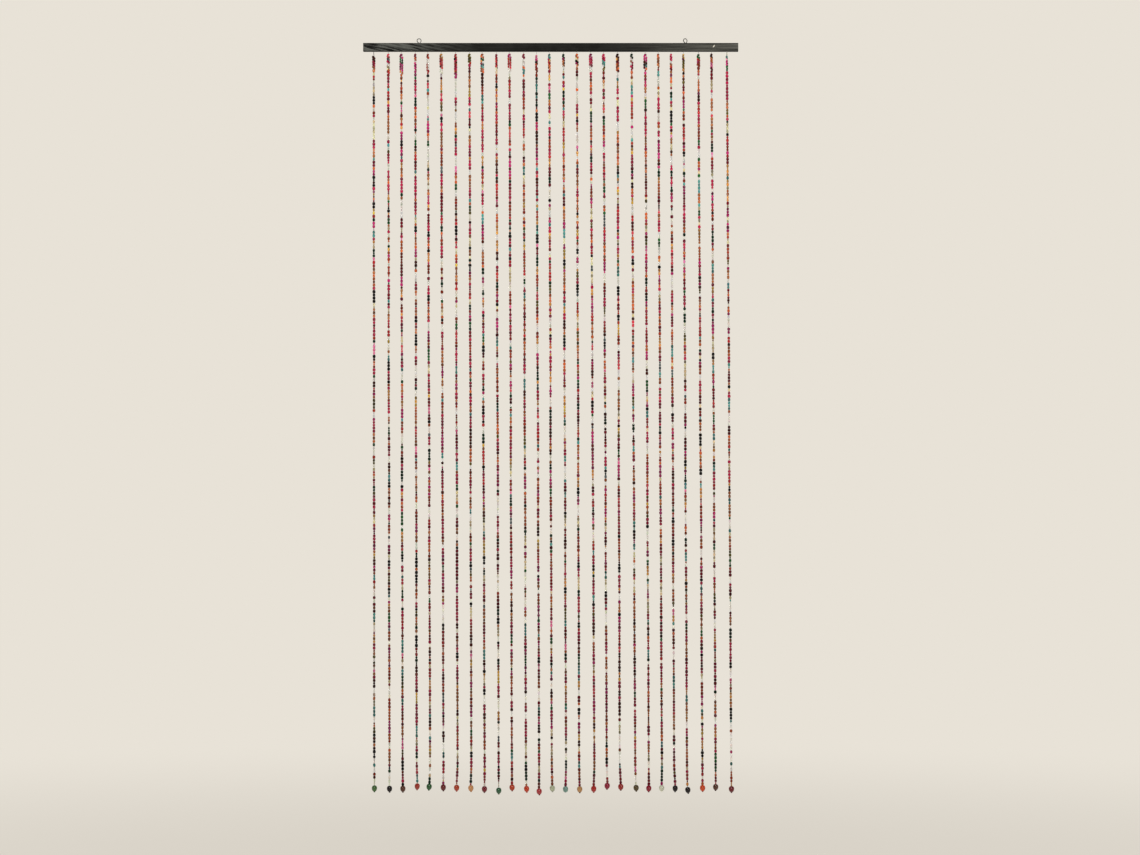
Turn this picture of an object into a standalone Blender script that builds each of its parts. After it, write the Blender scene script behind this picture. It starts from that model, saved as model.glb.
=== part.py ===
"""A bead curtain: a painted wooden header rail on two screw eyes, and 27 strings of glass beads.

Metres, +Z up. The rail runs along X and its front faces -Y. The origin is midway between the
centres of the two screw-eye rings, which is where the curtain hangs.
"""
import bmesh
import bpy
from collections import namedtuple
from math import cos, pi, radians, sin
from mathutils import Matrix, Vector

MM = 0.001
CLEARANCE = 0.0003

# Header rail, a flat wooden batten
RAIL_LENGTH = 0.900
RAIL_HEIGHT = 0.020
RAIL_DEPTH = 0.010
RAIL_EDGE = 0.0007

# Screw eyes, each one bent wire, in the top of the rail
EYE_OUTER = 0.0116
EYE_WIRE = 0.0020
EYE_LIFT = 0.0004
EYE_SHANK = 0.0105
EYE_STEM_SIDE = 0.0018
EYE_LEFT_FROM_END = 0.134
EYE_RIGHT_FROM_END = 0.127
EYE_RIGHT_TURN = radians(25)
RING_STEPS = 22
RING_START = radians(-42)
RING_END = radians(261)
HOLE_SIDES = 16
CUT_PROUD = 0.002

# Backing strip that carries the roots of the strings, let into the rail's underside
BACKING_LENGTH = 0.880
BACKING_WIDTH = 0.004
BACKING_THICKNESS = 0.0022
GROOVE_DEPTH = 0.0030

# Strings of beads: a thread, a folded loop of beads at the top, then one long column
STRING_PITCH = 0.0326
FIRST_STRING = -0.4248
CURTAIN_DROP = 1.7895
THREAD = 0.0012
LOOP_WIDTH = 0.0088
LOOP_DEPTH = 0.0048
LOOP_TOP_WIDTH = 0.45
LOOP_TOP_DEPTH = 0.60
BEAD = 0.0060
SHOULDER = 0.0045
COLUMN_STEP = 0.085
COLUMN_END = 0.0034
KICK_LENGTH = 0.045
SWAY = 0.0004
SWAY_WAVE = 0.55
SWAY_PHASE = 2.4

# End beads, each a turned glass drop with a small stop bead under it
DROP_LENGTH = 0.0165
DROP_RADIUS = 0.0063
DROP_SIDES = 10
# shares of the length from the top and of the radius
DROP_PROFILE = (
    (0.00, 0.30),
    (0.06, 0.62),
    (0.18, 0.88),
    (0.38, 1.00),
    (0.56, 0.95),
    (0.72, 0.74),
    (0.84, 0.40),
    (0.92, 0.34),
    (1.00, 0.18),
)

# One row for each string, left to right, in millimetres and degrees.
# place: root, off the even spacing; drift: foot, to the right of the root;
# low: tip, below the common level; start: thread below the rail; loop: length of the folded loop;
# turn: of the loop about the vertical; kick: side step of the end bead under its column;
# drop: glass of the end bead
String = namedtuple("String", "place drift low start loop turn kick drop")
STRINGS = tuple(String(*row) for row in (
    (0.0, 7.1, 0.0, 12.0, 30, 52, 0.5, "green"),
    (2.2, 7.6, 0.9, 5.0, 48, -40, -0.3, "black"),
    (1.0, 8.2, 0.9, 5.5, 48, 15, 0.5, "brown"),
    (2.0, 9.0, -4.7, 5.0, 40, 72, 1.4, "red"),
    (-0.6, 7.7, -3.8, 5.5, 44, -55, -1.7, "green"),
    (-1.1, 8.3, -2.1, 5.0, 48, 30, -0.9, "brown"),
    (0.9, 5.5, -1.4, 5.5, 52, -45, -2.4, "orange"),
    (1.6, 5.6, -0.5, 5.0, 24, 40, -1.7, "amber"),
    (-0.5, 7.9, 1.7, 5.0, 46, -15, -0.5, "crimson"),
    (1.0, 7.5, 5.2, 6.0, 40, 72, 0.0, "green"),
    (-0.2, 7.6, -2.1, 5.0, 42, 0, 0.0, "orange"),
    (1.0, 7.9, 1.2, 5.5, 42, -60, 0.8, "red"),
    (-0.6, 6.9, 7.3, 8.0, 40, 60, -0.5, "crimson"),
    (-2.5, 7.7, 0.0, 5.5, 38, -55, 0.9, "clear"),
    (-1.1, 5.2, 2.1, 5.5, 36, 63, -1.4, "teal"),
    (-1.3, 6.2, 2.1, 5.0, 28, 35, 0.9, "amber"),
    (-0.8, 6.5, 1.2, 5.0, 44, -20, -1.9, "red"),
    (-2.6, 8.3, -5.9, 5.5, 34, 35, 1.4, "crimson"),
    (-1.7, 6.5, -3.6, 5.0, 44, -40, 2.1, "red"),
    (-0.4, 8.7, -1.2, 5.0, 36, 45, 1.5, "brown"),
    (-0.2, 6.5, 0.0, 5.5, 38, -10, 0.0, "crimson"),
    (-1.8, 5.9, -0.7, 5.0, 32, 60, -0.9, "clear"),
    (-3.7, 7.4, 0.0, 5.5, 40, -68, 2.4, "black"),
    (-6.6, 6.6, 3.8, 5.5, 44, 63, 0.7, "black"),
    (-3.2, 6.4, -0.7, 6.0, 30, -40, 0.0, "orange"),
    (-4.3, 6.3, -3.1, 5.0, 40, 60, 0.0, "brown"),
    (0.0, 6.6, 1.7, 12.0, 30, 75, 0.0, "crimson"),
))

GLASS = {
    "amber": (0.62, 0.30, 0.08),
    "black": (0.020, 0.015, 0.018),
    "brown": (0.13, 0.045, 0.025),
    "clear": (0.80, 0.79, 0.76),
    "crimson": (0.42, 0.03, 0.07),
    "green": (0.05, 0.20, 0.08),
    "orange": (0.72, 0.20, 0.03),
    "red": (0.60, 0.05, 0.03),
    "teal": (0.25, 0.55, 0.52),
}
MIXED_GLASS = (0.30, 0.06, 0.07)

RAIL_X = (EYE_RIGHT_FROM_END - EYE_LEFT_FROM_END) / 2
EYE_X = RAIL_LENGTH / 2 - (EYE_LEFT_FROM_END + EYE_RIGHT_FROM_END) / 2
RAIL_TOP = -EYE_OUTER / 2 - EYE_LIFT
RAIL_BOTTOM = RAIL_TOP - RAIL_HEIGHT
BACKING_BOTTOM = RAIL_BOTTOM + GROOVE_DEPTH - CLEARANCE - BACKING_THICKNESS


def clear_scene():
    for obj in list(bpy.data.objects):
        bpy.data.objects.remove(obj)


def material(name, colour, roughness, metallic=0.0):
    made = bpy.data.materials.get(name)
    if made is None:
        made = bpy.data.materials.new(name)
        made.use_nodes = True
        shader = made.node_tree.nodes["Principled BSDF"]
        shader.inputs["Base Color"].default_value = (*colour, 1.0)
        shader.inputs["Roughness"].default_value = roughness
        shader.inputs["Metallic"].default_value = metallic
        made.diffuse_color = (*colour, 1.0)
    return made


def put(name, mesh, finish=None, cutter=False):
    obj = bpy.data.objects.new(name, mesh)
    bpy.context.collection.objects.link(obj)
    if finish:
        mesh.materials.append(finish)
    if cutter:
        obj.hide_render = True
        obj.display_type = "WIRE"
    return obj


def block(name, size, centre, edge=0.0):
    mesh = bpy.data.meshes.new(name)
    bm = bmesh.new()
    bmesh.ops.create_cube(bm, size=1.0, matrix=Matrix.Translation(centre) @ Matrix.Diagonal((*size, 1.0)))
    if edge:
        bmesh.ops.bevel(bm, geom=bm.edges[:], offset=edge, segments=1, affect="EDGES")
    bm.to_mesh(mesh)
    bm.free()
    return mesh


def loft(bm, rings):
    """Skin closed rings of points, listed from the top down, and cap both ends."""
    loops = [[bm.verts.new(point) for point in ring] for ring in rings]
    sides = len(rings[0])
    for upper, lower in zip(loops, loops[1:]):
        for k in range(sides):
            after = (k + 1) % sides
            bm.faces.new((upper[k], lower[k], lower[after], upper[after]))
    bm.faces.new(loops[0])
    bm.faces.new(reversed(loops[-1]))


def boolean(obj, cutter, operation):
    cut = obj.modifiers.new(cutter.name, "BOOLEAN")
    cut.operation = operation
    cut.object = cutter
    cut.solver = "EXACT"


def wire_points():
    """The bent wire of one screw eye, from the foot of its shank round to the ring's end."""
    radius = (EYE_OUTER - EYE_WIRE) / 2
    points = [Vector((EYE_STEM_SIDE, 0, RAIL_TOP - EYE_SHANK))]
    points.append(Vector((EYE_STEM_SIDE, 0, RAIL_TOP - EYE_SHANK / 2)))
    points.append(Vector((EYE_STEM_SIDE, 0, RAIL_TOP)))
    for step in range(RING_STEPS + 1):
        angle = RING_START + (RING_END - RING_START) * step / RING_STEPS
        points.append(Vector((radius * cos(angle), 0, radius * sin(angle))))
    return points


def screw_eye(name, x, turn):
    curve = bpy.data.curves.new(name, "CURVE")
    curve.dimensions = "3D"
    curve.bevel_depth = EYE_WIRE / 2
    curve.bevel_resolution = 2
    curve.use_fill_caps = True
    points = wire_points()
    spline = curve.splines.new("POLY")
    spline.points.add(len(points) - 1)
    for place, point in zip(spline.points, points):
        place.co = (*point, 1.0)
    curve.materials.append(material("eye_steel", (0.42, 0.42, 0.42), 0.35, 1.0))
    obj = bpy.data.objects.new(name, curve)
    obj.location = (x, 0, 0)
    obj.rotation_euler = (0, 0, turn)
    bpy.context.collection.objects.link(obj)
    return obj


def shank_hole(name, x, turn):
    """The hole in the rail for a screw eye's shank, standing proud of the rail's top."""
    depth = EYE_SHANK + CLEARANCE
    mesh = bpy.data.meshes.new(name)
    bm = bmesh.new()
    place = Matrix.Translation((
        x + EYE_STEM_SIDE * cos(turn),
        EYE_STEM_SIDE * sin(turn),
        RAIL_TOP + (CUT_PROUD - depth) / 2,
    ))
    radius = EYE_WIRE / 2 + CLEARANCE
    bmesh.ops.create_cone(bm, cap_ends=True, segments=HOLE_SIDES, radius1=radius, radius2=radius,
                          depth=depth + CUT_PROUD, matrix=place)
    bm.to_mesh(mesh)
    bm.free()
    return put(name, mesh, cutter=True)


def rail():
    centre = (RAIL_X, 0, RAIL_TOP - RAIL_HEIGHT / 2)
    mesh = block("rail", (RAIL_LENGTH, RAIL_DEPTH, RAIL_HEIGHT), centre, RAIL_EDGE)
    obj = put("rail", mesh, material("rail_paint", (0.022, 0.022, 0.020), 0.45))
    groove = block(
        "groove_cut",
        (BACKING_LENGTH + 2 * CLEARANCE, BACKING_WIDTH + 2 * CLEARANCE, GROOVE_DEPTH + CUT_PROUD),
        (RAIL_X, 0, RAIL_BOTTOM + (GROOVE_DEPTH - CUT_PROUD) / 2),
    )
    boolean(obj, put("groove_cut", groove, cutter=True), "DIFFERENCE")
    boolean(obj, shank_hole("hole_left", -EYE_X, 0.0), "DIFFERENCE")
    boolean(obj, shank_hole("hole_right", EYE_X, EYE_RIGHT_TURN), "DIFFERENCE")


def tip_fall(index):
    """How far a string's tip hangs below the rail."""
    return CURTAIN_DROP - RAIL_HEIGHT + STRINGS[index].low * MM


def string_axis(index, fall):
    """A string's centre at a distance below the rail, with its drift and slight sway."""
    string = STRINGS[index]
    kick = string.kick * MM
    root = RAIL_X + FIRST_STRING + STRING_PITCH * index + string.place * MM
    length = tip_fall(index) - DROP_LENGTH
    share = fall / length
    swing = 2 * pi * fall / SWAY_WAVE + SWAY_PHASE * index
    belly = SWAY * sin(pi * min(max(share, 0.0), 1.0))
    step = min(max(1 - (length - fall) / KICK_LENGTH, 0.0), 1.0)
    return Vector((
        root + (string.drift * MM - kick) * share + kick * step + belly * sin(swing),
        belly * cos(swing),
        RAIL_BOTTOM - fall,
    ))


def section(index, fall, width, depth, turn=0.0):
    centre = string_axis(index, fall)
    turned = Matrix.Rotation(turn, 3, "Z")
    corners = ((-1, -1), (1, -1), (1, 1), (-1, 1))
    return [centre + turned @ Vector((a * width / 2, b * depth / 2, 0)) for a, b in corners]


def string_rings(index):
    """Four-cornered sections of one string, from inside the backing down to its end bead."""
    string = STRINGS[index]
    start = string.start * MM
    loop = string.loop * MM
    turn = radians(string.turn)
    wide, deep = LOOP_WIDTH, LOOP_DEPTH
    if abs(turn) > pi / 4:
        wide, deep = deep, wide
        turn -= pi / 2 if turn > 0 else -pi / 2
    root = BACKING_BOTTOM + BACKING_THICKNESS / 2
    top = start + loop + SHOULDER
    foot = tip_fall(index) - DROP_LENGTH - CLEARANCE
    bend = foot - KICK_LENGTH
    rings = [
        section(index, RAIL_BOTTOM - root, THREAD, THREAD),
        section(index, start - THREAD, THREAD, THREAD),
        section(index, start, LOOP_TOP_WIDTH * wide, LOOP_TOP_DEPTH * deep, turn),
        section(index, start + SHOULDER, wide, deep, turn),
        section(index, start + loop - SHOULDER, wide, deep, turn),
        section(index, top, BEAD, BEAD),
    ]
    steps = round((bend - top) / COLUMN_STEP)
    for step in range(1, steps + 1):
        rings.append(section(index, top + (bend - top) * step / steps, BEAD, BEAD))
    rings.append(section(index, foot - SHOULDER, BEAD, BEAD))
    rings.append(section(index, foot, COLUMN_END, COLUMN_END))
    return rings


def strings():
    mesh = bpy.data.meshes.new("string_columns")
    bm = bmesh.new()
    for index in range(len(STRINGS)):
        loft(bm, string_rings(index))
    bmesh.ops.recalc_face_normals(bm, faces=bm.faces[:])
    bm.to_mesh(mesh)
    bm.free()
    columns = put("string_columns", mesh, cutter=True)
    centre = (RAIL_X, 0, BACKING_BOTTOM + BACKING_THICKNESS / 2)
    backing = block("strings", (BACKING_LENGTH, BACKING_WIDTH, BACKING_THICKNESS), centre)
    obj = put("strings", backing, material("mixed_beads", MIXED_GLASS, 0.12))
    boolean(obj, columns, "UNION")


def drop_mesh(glass):
    mesh = bpy.data.meshes.new("drop_" + glass)
    bm = bmesh.new()
    rings = []
    for height, radius in DROP_PROFILE:
        ring = []
        for side in range(DROP_SIDES):
            angle = 2 * pi * side / DROP_SIDES
            reach = DROP_RADIUS * radius
            ring.append(Vector((reach * cos(angle), reach * sin(angle), -DROP_LENGTH * height)))
        rings.append(ring)
    loft(bm, rings)
    bmesh.ops.recalc_face_normals(bm, faces=bm.faces[:])
    bm.to_mesh(mesh)
    bm.free()
    mesh.shade_smooth()
    mesh.set_sharp_from_angle(angle=radians(50))
    mesh.materials.append(material("glass_" + glass, GLASS[glass], 0.08))
    return mesh


def end_beads():
    meshes = {glass: drop_mesh(glass) for glass in GLASS}
    for index, string in enumerate(STRINGS):
        obj = bpy.data.objects.new(f"end_bead_{index + 1:02d}", meshes[string.drop])
        obj.location = string_axis(index, tip_fall(index) - DROP_LENGTH)
        bpy.context.collection.objects.link(obj)


def main():
    clear_scene()
    rail()
    screw_eye("screw_eye_left", -EYE_X, 0.0)
    screw_eye("screw_eye_right", EYE_X, EYE_RIGHT_TURN)
    strings()
    end_beads()


main()
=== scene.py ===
"""The looks of a bead curtain: mixed glass beads on nylon, a black batten and two wire screw eyes."""
from collections import namedtuple
from math import asin, cos, pi, radians, sin

import bpy
import numpy as np
from mathutils import Matrix, Vector

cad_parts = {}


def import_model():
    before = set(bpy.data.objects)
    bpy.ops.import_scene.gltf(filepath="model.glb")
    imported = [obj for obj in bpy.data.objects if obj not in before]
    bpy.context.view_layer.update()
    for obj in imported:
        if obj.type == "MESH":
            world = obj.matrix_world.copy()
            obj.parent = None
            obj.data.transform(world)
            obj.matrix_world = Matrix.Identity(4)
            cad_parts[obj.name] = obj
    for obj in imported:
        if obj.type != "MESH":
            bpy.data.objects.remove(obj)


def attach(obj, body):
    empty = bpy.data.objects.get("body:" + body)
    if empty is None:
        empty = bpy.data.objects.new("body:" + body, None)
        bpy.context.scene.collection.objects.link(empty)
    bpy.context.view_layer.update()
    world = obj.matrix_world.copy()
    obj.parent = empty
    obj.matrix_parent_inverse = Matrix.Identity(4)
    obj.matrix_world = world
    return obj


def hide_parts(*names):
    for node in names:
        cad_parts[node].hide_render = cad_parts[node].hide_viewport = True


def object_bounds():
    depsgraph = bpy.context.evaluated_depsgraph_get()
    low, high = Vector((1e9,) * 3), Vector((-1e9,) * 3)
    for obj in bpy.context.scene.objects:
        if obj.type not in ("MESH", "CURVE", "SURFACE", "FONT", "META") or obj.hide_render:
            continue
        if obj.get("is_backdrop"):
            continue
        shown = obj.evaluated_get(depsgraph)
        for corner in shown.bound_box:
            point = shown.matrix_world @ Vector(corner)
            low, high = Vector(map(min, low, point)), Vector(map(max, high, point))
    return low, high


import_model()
cad_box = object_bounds()

MM = 0.001
BODY = "root"

# The photograph's frame, in pixels, and where the curtain lies in it
PHOTO_WIDTH = 1140
PHOTO_HEIGHT = 855
RAIL_PIXELS = 375.2
RAIL_MIDDLE_X = 550.7
RAIL_TOP_Y = 42.9
FOOT_SPREAD = 1.0116
CAMERA_DISTANCE = 6.0

# Rail, screw eyes and backing, in metres, as in the solids
RAIL_LENGTH = 0.900
RAIL_HEIGHT = 0.020
RAIL_DEPTH = 0.010
RAIL_X = -0.0035
EYE_OUTER = 0.0116
EYE_WIRE = 0.0020
EYE_LIFT = 0.0004
EYE_SHANK = 0.0105
EYE_STEM_SIDE = 0.0018
EYE_X = 0.3195
EYE_TURNS = {"left": 0.0, "right": radians(25)}
RING_START = radians(-42)
RING_END = radians(261)
BACKING_LENGTH = 0.880
BACKING_WIDTH = 0.004
BACKING_THICKNESS = 0.0022
GROOVE_DEPTH = 0.0030
CLEARANCE = 0.0003

RAIL_TOP = -EYE_OUTER / 2 - EYE_LIFT
RAIL_BOTTOM = RAIL_TOP - RAIL_HEIGHT
RAIL_MIDDLE = (RAIL_TOP + RAIL_BOTTOM) / 2
RAIL_LEFT = RAIL_X - RAIL_LENGTH / 2
BACKING_BOTTOM = RAIL_BOTTOM + GROOVE_DEPTH - CLEARANCE - BACKING_THICKNESS

# Course of the strings, as in the solids
STRING_PITCH = 0.0326
FIRST_STRING = -0.4248
CURTAIN_DROP = 1.7895
KICK_LENGTH = 0.045
SWAY = 0.0004
SWAY_WAVE = 0.55
SWAY_PHASE = 2.4
DROP_LENGTH = 0.0165
DROP_RADIUS = 0.0063

# Shape of a small bead: a barrel, the fuller the higher its power, cut off short of its point
BEAD_SIDES = 8
BEAD_BANDS = 8
BARREL_FULLNESS = 3
BARREL_REACH = 0.955

# Column of a string: each bead takes about 7.6 mm of thread and fills most of it; some are small
BEAD_PITCH = 0.00757
BEAD_RADIUS = 0.0030
BEAD_FILL = 0.95
BEAD_LENGTHS = (0.84, 1.16)
BEAD_GIRTHS = (0.98, 1.12)
BEAD_LEAN = 0.04
SMALL_BEADS = 0.18
SMALL_BEAD_SIZE = 0.70
LAST_BEAD_SINK = 0.0004

# Folded loop at a string's top: slimmer beads on two legs, hung a little above each other, under
# a crown bead across them. A string that starts lower than HANGS_OPEN millimetres has no crown.
LOOP_BEAD_PITCH = 0.0062
LOOP_BEAD_RADIUS = 0.0025
LOOP_BEAD_FILL = 0.96
LOOP_GIRTHS = (0.86, 1.04)
LOOP_ASIDE = 0.00235
LEG_SHIFT = 0.25
LEGS_CHANGE = 0.85
LEGS_ALIKE = 0.35
CROWN_TAKES = 1.9
HANGS_OPEN = 10

# Seed beads on a bare stretch of thread
SEED_PITCH = 0.0022
SEED_RADIUS = 0.0011
SLATE_SEEDS = 0.4

# Thread: the legs part under the rail and meet again around the loop's end
THREAD_RADIUS = 0.0003
DARK_THREAD_RADIUS = 0.00042
THREAD_HOLE = 0.0011
THREAD_STEPS = 24
LEGS_CLOSE = THREAD_RADIUS * 1.2
LEGS_PART = 0.35
MERGE_REACH = 0.003
STOP_BEAD_SHARE = 0.15

# Starts of the random draws
STRING_SEED = 100
END_BEAD_SEED = 7

# One row for each string, left to right, in millimetres and degrees.
# place, drift, low, start, loop, turn and kick: as in the solids; drop: glass of the end bead;
# bare: thread with seed beads alone above the end bead; crown: glass at the top of the folded
# loop; stop: glass of the small bead under the drop
String = namedtuple("String", "place drift low start loop turn kick drop bare crown stop")
STRINGS = tuple(String(*row) for row in (
    (0.0, 7.1, 0.0, 12.0, 30, 52, 0.5, "leaf", 0, "brown", "leaf"),
    (2.2, 7.6, 0.9, 5.0, 48, -40, -0.3, "jet", 0, "rose", "jet"),
    (1.0, 8.2, 0.9, 5.5, 48, 15, 0.5, "bark", 0, "magenta", "bark"),
    (2.0, 9.0, -4.7, 5.0, 40, 72, 1.4, "brick", 2, "crimson", "brick"),
    (-0.6, 7.7, -3.8, 5.5, 44, -55, -1.7, "bottle", 0, "rust", "bottle"),
    (-1.1, 8.3, -2.1, 5.0, 48, 30, -0.9, "maroon", 0, "amber", "brown"),
    (0.9, 5.5, -1.4, 5.5, 52, -45, -2.4, "coral", 1, "red", "coral"),
    (1.6, 5.6, -0.5, 5.0, 24, 40, -1.7, "tan", 0, "olive", "amber"),
    (-0.5, 7.9, 1.7, 5.0, 46, -15, -0.5, "ruby", 0, "orange", "dark_red"),
    (1.0, 7.5, 5.2, 6.0, 40, 72, 0.0, "sea", 14, "crimson", "olive"),
    (-0.2, 7.6, -2.1, 5.0, 42, 0, 0.0, "tangerine", 0, "magenta", "rust"),
    (1.0, 7.9, 1.2, 5.5, 42, -60, 0.8, "scarlet", 0, "crimson", "scarlet"),
    (-0.6, 6.9, 7.3, 8.0, 40, 60, -0.5, "rosewood", 0, "pink", "dark_red"),
    (-2.5, 7.7, 0.0, 5.5, 38, -55, 0.9, "frosted", 0, "teal", "frosted"),
    (-1.1, 5.2, 2.1, 5.5, 36, 63, -1.4, "aqua", 0, "dark_green", "clear"),
    (-1.3, 6.2, 2.1, 5.0, 28, 35, 0.9, "tan", 0, "orange", "black"),
    (-0.8, 6.5, 1.2, 5.0, 44, -20, -1.9, "tomato", 0, "magenta", "tomato"),
    (-2.6, 8.3, -5.9, 5.5, 34, 35, 1.4, "berry", 0, "crimson", "berry"),
    (-1.7, 6.5, -3.6, 5.0, 44, -40, 2.1, "tomato", 0, "brown", "dark_red"),
    (-0.4, 8.7, -1.2, 5.0, 36, 45, 1.5, "moss", 0, "dark_green", "moss"),
    (-0.2, 6.5, 0.0, 5.5, 38, -10, 0.0, "berry", 0, "magenta", "berry"),
    (-1.8, 5.9, -0.7, 5.0, 32, 60, -0.9, "frosted", 0, "orange", "clear"),
    (-3.7, 7.4, 0.0, 5.5, 40, -68, 2.4, "jet", 0, "crimson", "jet"),
    (-6.6, 6.6, 3.8, 5.5, 44, 63, 0.7, "jet", 3, "yellow", "black"),
    (-3.2, 6.4, -0.7, 6.0, 30, -40, 0.0, "tangerine", 0, "green", "rust"),
    (-4.3, 6.3, -3.1, 5.0, 40, 60, 0.0, "bark", 0, "brown", "brown"),
    (0.0, 6.6, 1.7, 12.0, 30, 75, 0.0, "ruby", 0, "teal", "dark_red"),
))

# Bead glass: colour on screen from 0 to 255, share of the small beads, girth, and kind of glass
Glass = namedtuple("Glass", "colour share girth kind")
OPAQUE, TINTED, CLEAR = range(3)
GLASS = {
    "crimson": Glass((168, 26, 68), 22, 1.10, TINTED),
    "magenta": Glass((172, 30, 102), 9, 1.06, TINTED),
    "dark_red": Glass((96, 12, 26), 7, 1.12, OPAQUE),
    "red": Glass((170, 36, 40), 9, 1.06, TINTED),
    "rust": Glass((138, 48, 30), 9, 1.06, OPAQUE),
    "orange": Glass((194, 94, 46), 11, 1.02, TINTED),
    "caramel": Glass((176, 104, 60), 10, 1.00, TINTED),
    "rose": Glass((194, 60, 76), 3, 0.97, TINTED),
    "pink": Glass((230, 110, 158), 2, 0.92, TINTED),
    "amber": Glass((206, 142, 68), 6, 0.95, TINTED),
    "yellow": Glass((216, 168, 64), 2, 0.92, TINTED),
    "brown": Glass((64, 20, 10), 5, 1.12, OPAQUE),
    "black": Glass((10, 3, 3), 5, 1.18, OPAQUE),
    "olive": Glass((88, 76, 14), 3, 1.00, TINTED),
    "green": Glass((22, 86, 34), 4, 1.00, TINTED),
    "dark_green": Glass((6, 38, 20), 4, 1.08, OPAQUE),
    "teal": Glass((72, 146, 142), 5, 0.96, TINTED),
    "slate": Glass((84, 94, 98), 1, 0.92, TINTED),
    "cream": Glass((222, 204, 160), 6, 0.88, TINTED),
    "clear": Glass((250, 245, 234), 16, 0.86, CLEAR),
}
RUN_LENGTHS = (1, 2, 3, 4)
RUN_CHANCES = (0.56, 0.27, 0.12, 0.05)

# How much one bead's glass varies in depth and hue, and the painted shade that darkens it down the
# strings, where less light falls
CLEAR_SPREAD = 0.14
COLOUR_SPREAD = 0.50
SPREAD_LIFT = 0.2
LIGHTEST = 1.75
HUE_SPREAD = 0.05
PAINTED_SHADE_FROM = 0.40
PAINTED_SHADE_TO = 1.40
FOOT_PAINTED_SHADE = 0.55

# Finish of the glass: share of light let through, roughness, darkest and lightest streak, shine,
# and bend of light
Finish = namedtuple("Finish", "through roughness darkest lightest shine bend")
FINISHES = {
    "clear_glass": Finish(0.98, 0.04, 0.97, 1.05, 0.50, 1.22),
    "opaque_bead_glass": Finish(0.0, 0.16, 0.70, 1.30, 0.12, 1.5),
    "tinted_bead_glass": Finish(0.20, 0.14, 0.72, 1.20, 0.14, 1.5),
    "opaque_drop_glass": Finish(0.0, 0.10, 0.62, 1.40, 0.4, 1.5),
    "tinted_drop_glass": Finish(0.20, 0.10, 0.70, 1.25, 0.5, 1.5),
}
BEAD_FINISHES = ("opaque_bead_glass", "tinted_bead_glass", "clear_glass")
DROP_FINISHES = ("opaque_drop_glass", "tinted_drop_glass", "clear_glass")
STREAK_SIZE = 430.0
GLASS_BUMP = 0.12
GLASS_BUMP_HEIGHT = 0.0002
TINT = "glass_tint"

# Glass of the end beads: colour on screen, kind, and its slot in the record
Drop = namedtuple("Drop", "colour kind slot")
DROP_GLASS = {
    "leaf": Drop((74, 112, 58), TINTED, "glass_green"),
    "bottle": Drop((42, 94, 48), TINTED, "glass_green"),
    "sea": Drop((54, 106, 74), TINTED, "glass_green"),
    "jet": Drop((14, 4, 8), OPAQUE, "glass_black"),
    "bark": Drop((84, 52, 36), OPAQUE, "glass_brown"),
    "maroon": Drop((108, 38, 38), OPAQUE, "glass_brown"),
    "moss": Drop((76, 60, 36), OPAQUE, "glass_brown"),
    "brick": Drop((168, 58, 44), TINTED, "glass_red"),
    "tomato": Drop((166, 40, 34), TINTED, "glass_red"),
    "scarlet": Drop((204, 60, 16), TINTED, "glass_red"),
    "coral": Drop((188, 70, 38), TINTED, "glass_orange"),
    "tangerine": Drop((200, 70, 22), TINTED, "glass_orange"),
    "tan": Drop((194, 142, 92), TINTED, "glass_amber"),
    "ruby": Drop((130, 24, 38), TINTED, "glass_crimson"),
    "rosewood": Drop((172, 56, 60), TINTED, "glass_crimson"),
    "berry": Drop((148, 20, 52), TINTED, "glass_crimson"),
    "frosted": Drop((200, 204, 186), TINTED, "glass_clear"),
    "aqua": Drop((126, 168, 158), TINTED, "glass_teal"),
}
ALL_GLASS = {**GLASS, **DROP_GLASS}

# Half sections of an end bead and its stop bead, each a closed outline with a bore:
# share of the radius and share of the length from the top
DROP_SECTION = (
    (0.12, 0.025), (0.28, 0.004), (0.48, 0.020), (0.70, 0.080), (0.88, 0.175), (0.98, 0.290),
    (1.00, 0.390), (0.97, 0.510), (0.88, 0.640), (0.72, 0.755), (0.50, 0.840), (0.28, 0.868),
    (0.12, 0.860),
)
STOP_SECTION = (
    (0.12, 0.875), (0.24, 0.875), (0.33, 0.905), (0.34, 0.940), (0.28, 0.980), (0.16, 0.998),
    (0.12, 0.995),
)
DROP_SIDES = 24
STOP_SIDES = 14
DROP_GIRTHS = (1.00, 1.05)
DROP_FLATNESS = (0.97, 1.0)
DROP_LEAN = radians(3)

DOWN = Vector((0, 0, -1))


def linear(colour):
    """A screen colour from 0 to 255 as the light that a shader takes."""
    shares = [channel / 255 for channel in colour]
    return tuple(c / 12.92 if c <= 0.04045 else ((c + 0.055) / 1.055) ** 2.4 for c in shares)


# Work with objects

def deselect():
    bpy.ops.object.select_all(action="DESELECT")


def pick(obj):
    deselect()
    obj.select_set(True)
    bpy.context.view_layer.objects.active = obj


def named(name):
    obj = bpy.context.active_object
    obj.name = name
    obj.data.name = name
    return obj


def settle(obj):
    """Put the object's place, turn and size into its mesh."""
    pick(obj)
    bpy.ops.object.transform_apply(location=True, rotation=True, scale=True)


def block(name, size, centre):
    deselect()
    bpy.ops.mesh.primitive_cube_add(size=1.0, location=centre, scale=size)
    obj = named(name)
    settle(obj)
    return obj


def soften(obj, width, segments):
    """Round every arris of a block."""
    pick(obj)
    bpy.ops.object.mode_set(mode="EDIT")
    bpy.ops.mesh.select_all(action="SELECT")
    bpy.ops.mesh.bevel(offset=width, segments=segments, affect="EDGES")
    bpy.ops.object.mode_set(mode="OBJECT")


def cut(obj, cutter):
    modifier = obj.modifiers.new(cutter.name, "BOOLEAN")
    modifier.operation = "DIFFERENCE"
    modifier.object = cutter
    pick(obj)
    bpy.ops.object.modifier_apply(modifier=modifier.name)
    bpy.data.objects.remove(cutter)


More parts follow.
